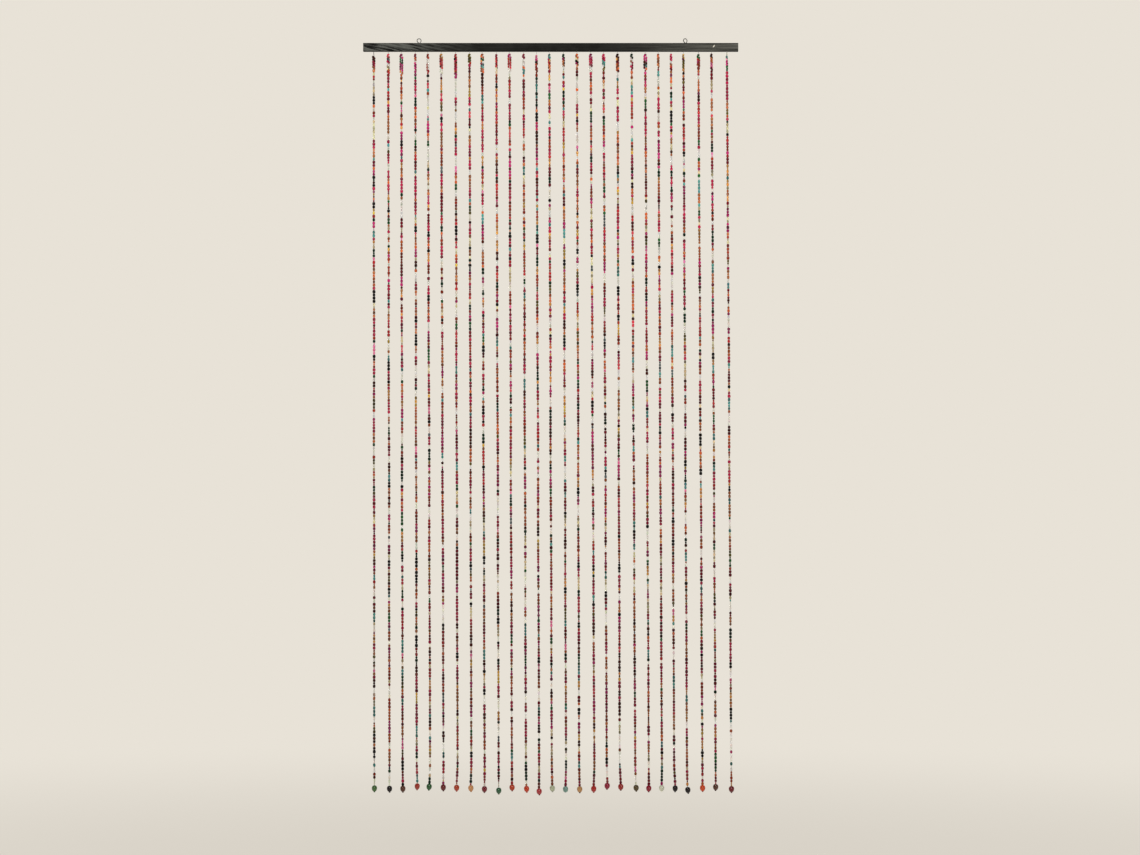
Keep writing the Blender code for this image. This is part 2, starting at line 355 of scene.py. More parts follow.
def round_cutter(name, radius, length, centre, sides):
    deselect()
    bpy.ops.mesh.primitive_cylinder_add(vertices=sides, radius=radius, depth=length, location=centre)
    obj = named(name)
    settle(obj)
    return obj


def joined(name, parts):
    deselect()
    for part in parts:
        part.select_set(True)
    bpy.context.view_layer.objects.active = parts[0]
    bpy.ops.object.join()
    return named(name)


def finish_piece(obj, slot, *replaced):
    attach(obj, BODY)
    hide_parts(*replaced)
    return obj


# Where a string runs

def tip_fall(string):
    """How far a string's tip hangs below the rail."""
    return CURTAIN_DROP - RAIL_HEIGHT + string.low * MM


def string_axis(index, fall):
    """A string's centre at a distance below the rail, with its drift and slight sway."""
    string = STRINGS[index]
    kick = string.kick * MM
    root = RAIL_X + FIRST_STRING + STRING_PITCH * index + string.place * MM
    length = tip_fall(string) - DROP_LENGTH
    share = fall / length
    swing = 2 * pi * fall / SWAY_WAVE + SWAY_PHASE * index
    belly = SWAY * sin(pi * min(max(share, 0.0), 1.0))
    step = min(max(1 - (length - fall) / KICK_LENGTH, 0.0), 1.0)
    return Vector((
        root + (string.drift * MM - kick) * share + kick * step + belly * sin(swing),
        belly * cos(swing),
        RAIL_BOTTOM - fall,
    ))


def loop_side(string):
    """Across the two legs of a string's folded loop."""
    turn = radians(string.turn)
    return Vector((cos(turn), sin(turn), 0))


# Shader building blocks

def sockets(group, inputs, outputs):
    for name, kind in inputs:
        group.interface.new_socket(name, in_out="INPUT", socket_type="NodeSocket" + kind)
    for name, kind in outputs:
        group.interface.new_socket(name, in_out="OUTPUT", socket_type="NodeSocket" + kind)


def streak_group():
    """Cloudy streaks in pressed glass: a shaded colour and a height."""
    group = bpy.data.node_groups.new("glass_streaks", "ShaderNodeTree")
    sockets(group, (("Colour", "Color"), ("Size", "Float"), ("Low", "Float"), ("High", "Float")),
            (("Colour", "Color"), ("Height", "Float")))
    nodes, links = group.nodes, group.links
    start = nodes.new("NodeGroupInput")
    end = nodes.new("NodeGroupOutput")
    place = nodes.new("ShaderNodeTexCoord")
    streaks = nodes.new("ShaderNodeTexNoise")
    streaks.inputs["Detail"].default_value = 3.0
    streaks.inputs["Distortion"].default_value = 1.2
    shade = nodes.new("ShaderNodeMapRange")
    shade.inputs["From Min"].default_value = 0.32
    shade.inputs["From Max"].default_value = 0.68
    tint = nodes.new("ShaderNodeMix")
    tint.data_type = "RGBA"
    tint.blend_type = "MULTIPLY"
    tint.inputs["Factor"].default_value = 1.0
    links.new(place.outputs["Object"], streaks.inputs["Vector"])
    links.new(start.outputs["Size"], streaks.inputs["Scale"])
    links.new(start.outputs["Low"], shade.inputs["To Min"])
    links.new(start.outputs["High"], shade.inputs["To Max"])
    links.new(streaks.outputs["Fac"], shade.inputs["Value"])
    links.new(start.outputs["Colour"], tint.inputs["A"])
    links.new(shade.outputs["Result"], tint.inputs["B"])
    links.new(tint.outputs["Result"], end.inputs["Colour"])
    links.new(streaks.outputs["Fac"], end.inputs["Height"])
    return group


def grain_group():
    """Long fibres or strokes: noise drawn out along one direction, as a mask."""
    group = bpy.data.node_groups.new("drawn_grain", "ShaderNodeTree")
    sockets(group, (("Vector", "Vector"), ("Along", "Float"), ("Across", "Float"),
                    ("Low", "Float"), ("High", "Float")), (("Mask", "Float"),))
    nodes, links = group.nodes, group.links
    start = nodes.new("NodeGroupInput")
    end = nodes.new("NodeGroupOutput")
    scale = nodes.new("ShaderNodeCombineXYZ")
    drawn = nodes.new("ShaderNodeVectorMath")
    drawn.operation = "MULTIPLY"
    fibre = nodes.new("ShaderNodeTexNoise")
    fibre.inputs["Scale"].default_value = 1.0
    fibre.inputs["Detail"].default_value = 5.0
    fibre.inputs["Roughness"].default_value = 0.62
    fibre.inputs["Distortion"].default_value = 0.4
    mask = nodes.new("ShaderNodeMapRange")
    mask.interpolation_type = "SMOOTHSTEP"
    links.new(start.outputs["Along"], scale.inputs["X"])
    links.new(start.outputs["Across"], scale.inputs["Y"])
    links.new(start.outputs["Across"], scale.inputs["Z"])
    links.new(start.outputs["Vector"], drawn.inputs[0])
    links.new(scale.outputs["Vector"], drawn.inputs[1])
    links.new(drawn.outputs["Vector"], fibre.inputs["Vector"])
    links.new(fibre.outputs["Fac"], mask.inputs["Value"])
    links.new(start.outputs["Low"], mask.inputs["From Min"])
    links.new(start.outputs["High"], mask.inputs["From Max"])
    links.new(mask.outputs["Result"], end.inputs["Mask"])
    return group


class Shading:
    """One material and the nodes that are added to it."""

    def __init__(self, name):
        self.material = bpy.data.materials.new(name)
        self.material.use_nodes = True
        self.nodes = self.material.node_tree.nodes
        self.links = self.material.node_tree.links
        self.shader = self.nodes["Principled BSDF"]
        self.place = self.nodes.new("ShaderNodeTexCoord").outputs["Object"]

    def link(self, source, node, socket):
        self.links.new(source, node.inputs[socket])

    def group(self, tree, **values):
        node = self.nodes.new("ShaderNodeGroup")
        node.node_tree = tree
        for name, value in values.items():
            node.inputs[name].default_value = value
        return node

    def axis(self, name):
        split = self.nodes.new("ShaderNodeSeparateXYZ")
        self.link(self.place, split, 0)
        return split.outputs[name]

    def noise(self, scale, detail=3.0):
        node = self.nodes.new("ShaderNodeTexNoise")
        node.inputs["Scale"].default_value = scale
        node.inputs["Detail"].default_value = detail
        self.link(self.place, node, "Vector")
        return node.outputs["Fac"]

    def ramp(self, value, low, high, to_low=0.0, to_high=1.0):
        node = self.nodes.new("ShaderNodeMapRange")
        node.interpolation_type = "SMOOTHSTEP"
        node.inputs["From Min"].default_value = low
        node.inputs["From Max"].default_value = high
        node.inputs["To Min"].default_value = to_low
        node.inputs["To Max"].default_value = to_high
        self.link(value, node, "Value")
        return node.outputs["Result"]

    def math(self, operation, first, second):
        node = self.nodes.new("ShaderNodeMath")
        node.operation = operation
        for socket, value in enumerate((first, second)):
            if isinstance(value, (int, float)):
                node.inputs[socket].default_value = value
            else:
                self.link(value, node, socket)
        return node.outputs[0]

    def mix(self, factor, first, second):
        """Blend two colours, each a screen colour or another node's output."""
        node = self.nodes.new("ShaderNodeMix")
        node.data_type = "RGBA"
        self.link(factor, node, "Factor")
        for socket, value in (("A", first), ("B", second)):
            if isinstance(value, tuple):
                node.inputs[socket].default_value = (*linear(value), 1.0)
            else:
                self.link(value, node, socket)
        return node.outputs["Result"]

    def bump(self, height, strength, distance):
        node = self.nodes.new("ShaderNodeBump")
        node.inputs["Strength"].default_value = strength
        node.inputs["Distance"].default_value = distance
        self.link(height, node, "Height")
        self.link(node.outputs["Normal"], self.shader, "Normal")

    def set(self, **values):
        for name, value in values.items():
            self.shader.inputs[name.replace("_", " ")].default_value = value


# Materials

def glass(name, finish, streaks):
    """Glossy pressed glass, in the colour that each bead carries."""
    made = Shading(name)
    tint = made.nodes.new("ShaderNodeAttribute")
    tint.attribute_name = TINT
    cloud = made.group(streaks, Size=STREAK_SIZE, Low=finish.darkest, High=finish.lightest)
    made.link(tint.outputs["Color"], cloud, "Colour")
    made.link(cloud.outputs["Colour"], made.shader, "Base Color")
    made.bump(cloud.outputs["Height"], GLASS_BUMP, GLASS_BUMP_HEIGHT)
    made.set(Roughness=finish.roughness, Transmission_Weight=finish.through, IOR=finish.bend,
             Specular_IOR_Level=finish.shine)
    return made.material


# Tones of the threads, wire and strip on screen, the darker or duller one first
CLEAR_NYLON = ((176, 174, 168), (226, 224, 218))
DARK_NYLON = ((22, 24, 24), (50, 52, 50))
ZINC = ((74, 74, 72), (112, 112, 110))
STAIN = ((24, 22, 20), (48, 42, 36))


def nylon(name, dark, light):
    made = Shading(name)
    fibre = made.noise(900.0)
    made.link(made.mix(fibre, dark, light), made.shader, "Base Color")
    made.link(made.ramp(fibre, 0.3, 0.7, 0.22, 0.36), made.shader, "Roughness")
    made.set(Transmission_Weight=0.3, IOR=1.5)
    return made.material


def zinc_wire():
    """Bright wire with dull, tarnished patches."""
    made = Shading("zinc_wire")
    tarnish = made.noise(320.0, 4.0)
    scratch = made.noise(2600.0, 2.0)
    colour = made.mix(made.ramp(tarnish, 0.38, 0.62), *ZINC)
    made.link(colour, made.shader, "Base Color")
    made.link(made.ramp(tarnish, 0.35, 0.65, 0.42, 0.24), made.shader, "Roughness")
    made.bump(scratch, 0.10, 0.0001)
    made.set(Metallic=1.0)
    return made.material


# Tones of the painted rail on screen
PAINT = (18, 18, 16)
PAINT_WORN = (28, 29, 27)
PAINT_DEEP_AND_SHADE = (9, 9, 8)
STROKE_GREY = (96, 99, 96)
FINE_STREAK_GREY = (112, 113, 108)
BARE_CHIP = (226, 222, 210)

# Reach of the lighter grey stretches from each end of the rail, and slope of the strokes
LEFT_GREY_STRETCH = (0.03, 0.31)
RIGHT_GREY_STRETCH = (-0.04, 0.35)
STROKE_SLOPE = radians(13)

# The chip in the paint near the right end, from the rail's right end and its middle line
CHIP_FROM_END = 0.0585
CHIP_RISE = 0.0022
CHIP_LONG = 0.0036
CHIP_SHORT = 0.0014
CHIP_SLOPE = radians(52)
CHIP_RAGGED = 0.7

# Where painted shade darkens the paint towards the arrises, and how the strokes and the chip stand
# out
ARRIS_FROM = 0.0018
ARRIS_TO = 0.0004
ARRIS_PAINTED_SHADE = 0.6
CHIP_DEPTH = 3.0
STROKE_HEIGHT = 1.5


def black_paint(grain):
    """Thin black paint with lighter grey strokes towards both ends, a chip, painted shade along the
    arrises, and grain.
    """
    made = Shading("black_paint")
    along = made.axis("X")
    right_end = RAIL_LEFT + RAIL_LENGTH
    left = made.ramp(along, RAIL_LEFT + LEFT_GREY_STRETCH[0], RAIL_LEFT + LEFT_GREY_STRETCH[1], 1.0, 0.0)
    right = made.ramp(along, right_end - RIGHT_GREY_STRETCH[1], right_end - RIGHT_GREY_STRETCH[0])

    turn = made.nodes.new("ShaderNodeMapping")
    turn.inputs["Rotation"].default_value = (0, -STROKE_SLOPE, 0)
    made.link(made.place, turn, "Vector")
    strokes = made.group(grain, Along=16.0, Across=230.0, Low=0.40, High=0.60)
    made.link(turn.outputs["Vector"], strokes, "Vector")
    fine = made.group(grain, Along=9.0, Across=700.0, Low=0.36, High=0.64)
    made.link(made.place, fine, "Vector")

    base = made.mix(made.ramp(made.noise(38.0), 0.35, 0.65), PAINT, PAINT_WORN)
    # Lighter grey strokes towards the left end and fine grey streaks towards the right end
    grey_strokes = made.mix(strokes.outputs["Mask"], PAINT_DEEP_AND_SHADE, STROKE_GREY)
    grey_streaks = made.mix(fine.outputs["Mask"], PAINT_WORN, FINE_STREAK_GREY)
    colour = made.mix(left, base, grey_strokes)
    colour = made.mix(right, colour, grey_streaks)

    from_middle = made.math("ABSOLUTE", made.math("SUBTRACT", made.axis("Z"), RAIL_MIDDLE), 0.0)
    arris = made.ramp(from_middle, RAIL_HEIGHT / 2 - ARRIS_FROM, RAIL_HEIGHT / 2 - ARRIS_TO)
    # Painted shade: the paint darkens towards the top and bottom arrises
    colour = made.mix(made.math("MULTIPLY", arris, ARRIS_PAINTED_SHADE), colour, PAINT_DEEP_AND_SHADE)

    chip_place = made.nodes.new("ShaderNodeMapping")
    chip_place.vector_type = "TEXTURE"
    chip_place.inputs["Location"].default_value = (
        right_end - CHIP_FROM_END, -RAIL_DEPTH / 2, RAIL_MIDDLE + CHIP_RISE)
    chip_place.inputs["Rotation"].default_value = (0, -CHIP_SLOPE, 0)
    chip_place.inputs["Scale"].default_value = (CHIP_LONG, CHIP_SHORT, CHIP_SHORT)
    made.link(made.place, chip_place, "Vector")
    reach = made.nodes.new("ShaderNodeVectorMath")
    reach.operation = "LENGTH"
    made.link(chip_place.outputs["Vector"], reach, 0)
    ragged = made.math("MULTIPLY", made.noise(1400.0), CHIP_RAGGED)
    chip = made.ramp(made.math("ADD", reach.outputs["Value"], ragged), 1.1, 1.4, 1.0, 0.0)
    colour = made.mix(chip, colour, BARE_CHIP)
    made.link(colour, made.shader, "Base Color")

    ground = made.math("SUBTRACT", fine.outputs["Mask"], made.math("MULTIPLY", chip, CHIP_DEPTH))
    ridges = made.math("MULTIPLY", strokes.outputs["Mask"], left)
    lift = made.math("ADD", ground, made.math("MULTIPLY", ridges, STROKE_HEIGHT))
    made.bump(lift, 0.35, 0.0002)
    made.link(made.ramp(fine.outputs["Mask"], 0.0, 1.0, 0.55, 0.70), made.shader, "Roughness")
    made.link(made.ramp(arris, 0.0, 1.0, 0.12, 0.0), made.shader, "Specular IOR Level")
    return made.material


def strip_stain(grain):
    made = Shading("black_stain")
    fibre = made.group(grain, Along=20.0, Across=900.0, Low=0.3, High=0.7)
    made.link(made.place, fibre, "Vector")
    made.link(made.mix(fibre.outputs["Mask"], *STAIN), made.shader, "Base Color")
    made.bump(fibre.outputs["Mask"], 0.3, 0.0001)
    made.set(Roughness=0.7)
    return made.material


# Rail

RAIL_ARRIS = 0.0007
STRIP_ARRIS = 0.0004
SHARP_ANGLE = radians(40)
SHANK_HOLE_SIDES = 20
THREAD_HOLE_SIDES = 12


def rail(paint):
    centre = (RAIL_X, 0, RAIL_MIDDLE)
    obj = block("batten", (RAIL_LENGTH, RAIL_DEPTH, RAIL_HEIGHT), centre)
    soften(obj, RAIL_ARRIS, 3)
    groove_centre = (RAIL_X, 0, RAIL_BOTTOM)
    groove_size = (BACKING_LENGTH + 2 * CLEARANCE, BACKING_WIDTH + 2 * CLEARANCE, 2 * GROOVE_DEPTH)
    cut(obj, block("groove", groove_size, groove_centre))
    for side, turn in EYE_TURNS.items():
        place = (*eye_shank_place(side, turn), RAIL_TOP)
        cut(obj, round_cutter("shank_hole", EYE_WIRE / 2 + CLEARANCE, 2 * EYE_SHANK, place,
                              SHANK_HOLE_SIDES))
    pick(obj)
    bpy.ops.object.shade_smooth_by_angle(angle=SHARP_ANGLE)
    obj.data.materials.append(paint)
    return finish_piece(obj, "rail_paint", "rail")


def backing(stain):
    """The strip in the rail's groove that the threads are knotted into."""
    centre = (RAIL_X, 0, BACKING_BOTTOM + BACKING_THICKNESS / 2)
    obj = block("backing_strip", (BACKING_LENGTH, BACKING_WIDTH, BACKING_THICKNESS), centre)
    soften(obj, STRIP_ARRIS, 2)
    holes = []
    for index in range(len(STRINGS)):
        place = string_axis(index, RAIL_BOTTOM - BACKING_BOTTOM)
        holes.append(round_cutter("thread_hole", THREAD_HOLE, BACKING_THICKNESS, place,
                                  THREAD_HOLE_SIDES))
    cut(obj, joined("thread_holes", holes))
    pick(obj)
    bpy.ops.object.shade_smooth_by_angle(angle=SHARP_ANGLE)
    obj.data.materials.append(stain)
    return finish_piece(obj, "mixed_beads", "strings")


# Screw eyes

EYE_BEND = 0.001
EYE_SIDES = 12
RING_STEPS = 44
WIRE_ANGLE = radians(50)


def eye_x(side):
    return -EYE_X if side == "left" else EYE_X


def eye_shank_place(side, turn):
    return eye_x(side) + EYE_STEM_SIDE * cos(turn), EYE_STEM_SIDE * sin(turn)


def wires(name, paths, radius, sides):
    """Round wires along lists of points, with closed ends, as one mesh."""
    curve = bpy.data.curves.new(name, "CURVE")
    curve.dimensions = "3D"
    curve.bevel_depth = radius
    curve.bevel_resolution = sides // 2 - 2
    curve.use_fill_caps = True
    for path in paths:
        spline = curve.splines.new("POLY")
        spline.points.add(len(path) - 1)
        for place, point in zip(spline.points, path):
            place.co = (*point, 1.0)
    obj = bpy.data.objects.new(name, curve)
    bpy.context.collection.objects.link(obj)
    pick(obj)
    bpy.ops.object.convert(target="MESH")
    obj = named(name)
    obj.data.shade_smooth()
    return obj


def screw_eye(side, turn, zinc):
    """Wire bent into an open ring over a straight shank."""
    radius = (EYE_OUTER - EYE_WIRE) / 2
    neck = Vector((EYE_STEM_SIDE, 0, RAIL_TOP))
    ring_foot = Vector((radius * cos(RING_START), 0, radius * sin(RING_START)))
    path = [Vector((EYE_STEM_SIDE, 0, RAIL_TOP - EYE_SHANK)), neck - Vector((0, 0, EYE_BEND))]
    path += [neck.lerp(ring_foot, share) for share in (0.25, 0.5, 0.75)]
    for step in range(RING_STEPS + 1):
        angle = RING_START + (RING_END - RING_START) * step / RING_STEPS
        path.append(Vector((radius * cos(angle), 0, radius * sin(angle))))
    obj = wires("screw_eye_wire_" + side, [path], EYE_WIRE / 2, EYE_SIDES)
    obj.location = (eye_x(side), 0, 0)
    obj.rotation_euler = (0, 0, turn)
    settle(obj)
    bpy.ops.object.shade_smooth_by_angle(angle=WIRE_ANGLE)
    obj.data.materials.append(zinc)
    return finish_piece(obj, "eye_steel", "screw_eye_" + side)


# Small beads

def bead_pattern():
    """One small bead, modelled once: a short barrel with a flat rim at each end of its hole."""
    deselect()
    bpy.ops.mesh.primitive_uv_sphere_add(segments=BEAD_SIDES, ring_count=BEAD_BANDS, radius=1.0)
    obj = named("small_bead")
    mesh = obj.data
    bpy.ops.object.mode_set(mode="EDIT")
    bpy.ops.mesh.select_mode(type="VERT")
    bpy.ops.mesh.select_all(action="DESELECT")
    bpy.ops.object.mode_set(mode="OBJECT")
    for vertex in mesh.vertices:
        vertex.select = abs(vertex.co.z) > 0.999
    bpy.ops.object.mode_set(mode="EDIT")
    bpy.ops.mesh.dissolve_verts()
    bpy.ops.object.mode_set(mode="OBJECT")
    points = np.array([vertex.co[:] for vertex in mesh.vertices])
    points[:, 2] /= points[:, 2].max()
    height = np.abs(points[:, 2:])
    girth = (1 - (BARREL_REACH * height) ** BARREL_FULLNESS) ** (1 / BARREL_FULLNESS)
    points[:, :2] *= girth / np.linalg.norm(points[:, :2], axis=1, keepdims=True)
    faces = [tuple(face.vertices) for face in mesh.polygons]
    bpy.data.objects.remove(obj)
    return points, faces


class Beads:
    """Gathers copies of the small bead into one mesh, each with its own glass."""

    def __init__(self, pattern):
        self.points, self.faces = pattern
        self.vertices = []
        self.polygons = []
        self.tints = []
        self.kinds = []

    def add(self, centre, along, radius, length, tint, kind):
        turned = np.array(Vector((0, 0, 1)).rotation_difference(along).to_matrix())
        shaped = self.points * (radius, radius, length / 2)
        first = len(self.vertices) * len(self.points)
        self.vertices.append(shaped @ turned.T + np.array(centre))
        self.polygons.extend(tuple(first + corner for corner in face) for face in self.faces)
        self.tints.append(tint)
        self.kinds.append(kind)

    def make(self, name, glasses):
        mesh = bpy.data.meshes.new(name)
        mesh.from_pydata(np.concatenate(self.vertices).tolist(), [], self.polygons)
        mesh.update()
        mesh.shade_smooth()
        obj = bpy.data.objects.new(name, mesh)
        bpy.context.collection.objects.link(obj)
        colours = np.ones((len(self.tints), 4))
        colours[:, :3] = self.tints
        attribute = mesh.color_attributes.new(TINT, "FLOAT_COLOR", "POINT")
        attribute.data.foreach_set("color", np.repeat(colours, len(self.points), axis=0).ravel())
        for made in glasses:
            mesh.materials.append(made)
        kinds = np.repeat(np.array(self.kinds), len(self.faces))
        mesh.polygons.foreach_set("material_index", kinds)
        return obj


def glass_run(chance):
    """Names of glass without end, now and then a few alike in a row."""
    names = list(GLASS)
    shares = np.array([GLASS[name].share for name in names], float)
    shares /= shares.sum()
    while True:
        name = names[chance.choice(len(names), p=shares)]
        for _ in range(chance.choice(RUN_LENGTHS, p=RUN_CHANCES)):
            yield name


def painted_shade_at(fall):
    """Painted shade at a distance below the rail: how light the glass is painted there, against the
    top beads.
    """
    share = min(max((fall - PAINTED_SHADE_FROM) / (PAINTED_SHADE_TO - PAINTED_SHADE_FROM), 0.0), 1.0)
    return 1.0 + (FOOT_PAINTED_SHADE - 1.0) * share


def tint_of(name, chance, shade=1.0):
    """The colour of one bead: clear and end beads vary little in depth, the others a lot; shade is a
    painted shade.
    """
    glass = ALL_GLASS[name]
    spread = CLEAR_SPREAD if glass.kind == CLEAR or name in DROP_GLASS else COLOUR_SPREAD
    depth = min(chance.lognormal(SPREAD_LIFT * spread, spread), LIGHTEST)
    # Painted shade: all but clear glass are darkened by shade
    if glass.kind != CLEAR:
        depth *= shade
    varied = np.array(linear(glass.colour)) * depth * chance.normal(1.0, HUE_SPREAD, 3)
    return np.clip(varied, 0.0, 1.0)


class StringOfBeads:
    """Strings the small beads of one string, from its folded loop down to its end bead."""

    def __init__(self, index, pattern):
        self.index = index
        self.string = STRINGS[index]
        self.chance = np.random.default_rng(STRING_SEED + index)
        self.beads = Beads(pattern)
        self.run = glass_run(self.chance)

    def put(self, centre, along, radius, length, name, shade=1.0):
        lean = Vector(self.chance.normal(0.0, BEAD_LEAN, 3))
        self.beads.add(centre, (along + lean).normalized(), radius * GLASS[name].girth, length,
                       tint_of(name, self.chance, shade), GLASS[name].kind)

    def seeds(self, top, bottom):
        """Tiny pale and grey beads along a stretch of thread."""
        for step in range(round((bottom - top) / SEED_PITCH)):
            centre = string_axis(self.index, top + (step + 0.5) * SEED_PITCH)
            name = "slate" if self.chance.random() < SLATE_SEEDS else "cream"
            tint = tint_of(name, self.chance)
            self.beads.add(centre, DOWN, SEED_RADIUS, SEED_PITCH, tint, TINTED)

    def loop(self, top, bottom):
        """The crown bead, if the string has one, and the two legs of slim beads under it."""
        across = loop_side(self.string)
        crown = self.string.crown
        if self.string.start < HANGS_OPEN:
            self.put(string_axis(self.index, top + LOOP_BEAD_RADIUS), across, LOOP_BEAD_RADIUS,
                     LOOP_BEAD_PITCH, crown)
            top += CROWN_TAKES * LOOP_BEAD_RADIUS
        steps = round((bottom - top) / LOOP_BEAD_PITCH)
        length = (bottom - top) / steps
        legs = [crown, crown]
        for step in range(steps):
            if step > 0 and self.chance.random() < LEGS_CHANGE:
                legs[0] = next(self.run)
                legs[1] = legs[0] if self.chance.random() < LEGS_ALIKE else next(self.run)
            for sign, name in zip((-1, 1), legs):
                fall = top + (step + 0.5 + LEG_SHIFT * sign) * length
                place = string_axis(self.index, fall) + across * sign * LOOP_ASIDE
                radius = LOOP_BEAD_RADIUS * self.chance.uniform(*LOOP_GIRTHS)
                self.put(place, DOWN, radius, length * LOOP_BEAD_FILL, name)

    def column(self, top, foot):
        """Beads one under another, their pitch set so that they just fill the stretch."""
        sizes = []
        while sum(size for _, size in sizes) * BEAD_PITCH < foot - top:
            small = SMALL_BEAD_SIZE if self.chance.random() < SMALL_BEADS else 1.0
            sizes.append((next(self.run), small * self.chance.uniform(*BEAD_LENGTHS)))
        pitch = (foot + LAST_BEAD_SINK - top) / sum(size for _, size in sizes)
        fall = top
        for name, size in sizes:
            upper = string_axis(self.index, fall)
            lower = string_axis(self.index, fall + pitch * size)
            radius = BEAD_RADIUS * min(size, 1.0) * self.chance.uniform(*BEAD_GIRTHS)
            # Painted shade, deeper further down the string, darkens each bead's colour
            self.put((upper + lower) / 2, (lower - upper).normalized(), radius,
                     pitch * size * BEAD_FILL, name, painted_shade_at(fall))
            fall += pitch * size


def string_of_beads(index, pattern, glasses):
    string = STRINGS[index]
    made = StringOfBeads(index, pattern)
    top = string.start * MM
    loop_end = top + string.loop * MM
    drop_top = tip_fall(string) - DROP_LENGTH
    foot = drop_top - string.bare * MM
    if index == len(STRINGS) - 1:
        made.seeds(SEED_PITCH, top)
    made.loop(top, loop_end)
    made.column(loop_end, foot)
    made.seeds(foot, drop_top)
    obj = made.beads.make(f"bead_string_{index + 1:02d}", glasses)
    return finish_piece(obj, "mixed_beads", "strings")


# Thread

def thread_paths(index):
    """The two legs of a string's loop, then its single column, down to the stop bead."""
    string = STRINGS[index]
    across = loop_side(string)
    top = string.start * MM
    merge = top + string.loop * MM
    foot = tip_fall(string) - STOP_BEAD_SHARE * DROP_LENGTH
    opening = top + (0 if string.start > HANGS_OPEN else LOOP_BEAD_RADIUS)
    root = RAIL_BOTTOM - BACKING_BOTTOM - BACKING_THICKNESS / 4
    route = ((root, LEGS_CLOSE), (opening * LEGS_PART, LEGS_CLOSE), (opening, LOOP_ASIDE),
             (merge - MERGE_REACH, LOOP_ASIDE), (merge + MERGE_REACH, THREAD_RADIUS / 2))
    legs = [[string_axis(index, fall) + across * sign * aside for fall, aside in route]
            for sign in (-1, 1)]
    falls = [merge + (foot - merge) * step / THREAD_STEPS for step in range(THREAD_STEPS + 1)]
    falls.append(tip_fall(string) - DROP_LENGTH - KICK_LENGTH)
    return [*legs, [string_axis(index, fall) for fall in sorted(falls)]]


def threads(light_nylon, dark_nylon):
    """All strings on clear nylon but the first, whose thread is dark."""
    made = []
    for name, indices, radius, finish in (
        ("dark_thread", range(1), DARK_THREAD_RADIUS, dark_nylon),
        ("clear_threads", range(1, len(STRINGS)), THREAD_RADIUS, light_nylon),
    ):
        paths = [path for index in indices for path in thread_paths(index)]
        obj = wires(name, paths, radius, 6)
        obj.data.materials.append(finish)
        made.append(finish_piece(obj, "mixed_beads", "strings"))
    return made


# End beads

def turned(name, section, steps):
    """A closed half section spun about the vertical: a solid of glass with a bore."""
    deselect()
    bpy.ops.mesh.primitive_circle_add(vertices=len(section), radius=1.0, fill_type="NOTHING")
    obj = named(name)
    for vertex, (radius, fall) in zip(obj.data.vertices, section):
        vertex.co = (DROP_RADIUS * radius, 0, -DROP_LENGTH * fall)
    bpy.ops.object.mode_set(mode="EDIT")
    bpy.ops.mesh.select_all(action="SELECT")
    bpy.ops.mesh.spin(steps=steps, angle=2 * pi, center=(0, 0, 0), axis=(0, 0, 1))
    bpy.ops.mesh.select_all(action="SELECT")
    bpy.ops.mesh.remove_doubles(threshold=0.00001)
    bpy.ops.mesh.normals_make_consistent(inside=False)
    bpy.ops.object.mode_set(mode="OBJECT")
    obj.data.shade_smooth()
    return obj


def glass_copy(pattern, place, name, chance, glasses):
    """A copy of a turned bead with its own mesh, place and glass."""
    copy = pattern.copy()
    copy.data = pattern.data.copy()
    bpy.context.collection.objects.link(copy)
    copy.data.transform(place)
    attribute = copy.data.color_attributes.new(TINT, "FLOAT_COLOR", "POINT")
    colour = (*tint_of(name, chance), 1.0)
    attribute.data.foreach_set("color", list(colour) * len(copy.data.vertices))
    copy.data.materials.append(glasses[ALL_GLASS[name].kind])
    return copy


def end_beads(glasses):
    drop = turned("drop_pattern", DROP_SECTION, DROP_SIDES)
    stop = turned("stop_pattern", STOP_SECTION, STOP_SIDES)
    chance = np.random.default_rng(END_BEAD_SEED)
    for index, string in enumerate(STRINGS):
        number = index + 1
        girth = chance.uniform(*DROP_GIRTHS)
        place = (Matrix.Translation(string_axis(index, tip_fall(string) - DROP_LENGTH))
                 @ Matrix.Rotation(chance.normal(0, DROP_LEAN), 4, "Y")
                 @ Matrix.Rotation(chance.uniform(0, 2 * pi), 4, "Z")
                 @ Matrix.Diagonal((girth, girth * chance.uniform(*DROP_FLATNESS), 1.0, 1.0)))
        pair = [glass_copy(drop, place, string.drop, chance, glasses),
                glass_copy(stop, place, string.stop, chance, glasses)]
        obj = joined(f"glass_drop_{number:02d}", pair)
        finish_piece(obj, DROP_GLASS[string.drop].slot, f"end_bead_{number:02d}")
    for pattern in (drop, stop):
        bpy.data.objects.remove(pattern)


# Floor, light and camera

FLOOR_DROP = 2.10
FLOOR_RADIUS = 60.0
FLOOR_TONES = ((219, 213, 202), (224, 218, 207))
FLOOR_FADE = (0.8, 5.0)
BACKGROUND = (232, 226, 215)
UNLIT = (0, 0, 0)


def floor():
    """A pale floor that fades into the plain background away from the curtain."""
    deselect()
    bpy.ops.mesh.primitive_circle_add(vertices=96, radius=FLOOR_RADIUS, fill_type="NGON",
                                      location=(0, 0, -FLOOR_DROP))
    obj = named("floor")
    made = Shading("pale_floor")
    flat = made.nodes.new("ShaderNodeVectorMath")
    flat.operation = "LENGTH"
    made.link(made.place, flat, 0)
    fade = made.ramp(flat.outputs["Value"], *FLOOR_FADE, 0.72, 1.0)
    near = made.mix(made.noise(1.5), *FLOOR_TONES)
    made.link(made.mix(fade, near, UNLIT), made.shader, "Base Color")
    made.link(made.mix(fade, UNLIT, BACKGROUND), made.shader, "Emission Color")
    made.set(Roughness=0.9, Emission_Strength=1.0, Specular_IOR_Level=0.0)
    obj.data.materials.append(made.material)
    obj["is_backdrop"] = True


# Strength of the light all round, in front of the curtain and behind it, and its warm white
LIGHT_IN_FRONT = 0.10
LIGHT_BEHIND = 0.70
SOFT_WHITE = (1.0, 0.965, 0.915, 1.0)


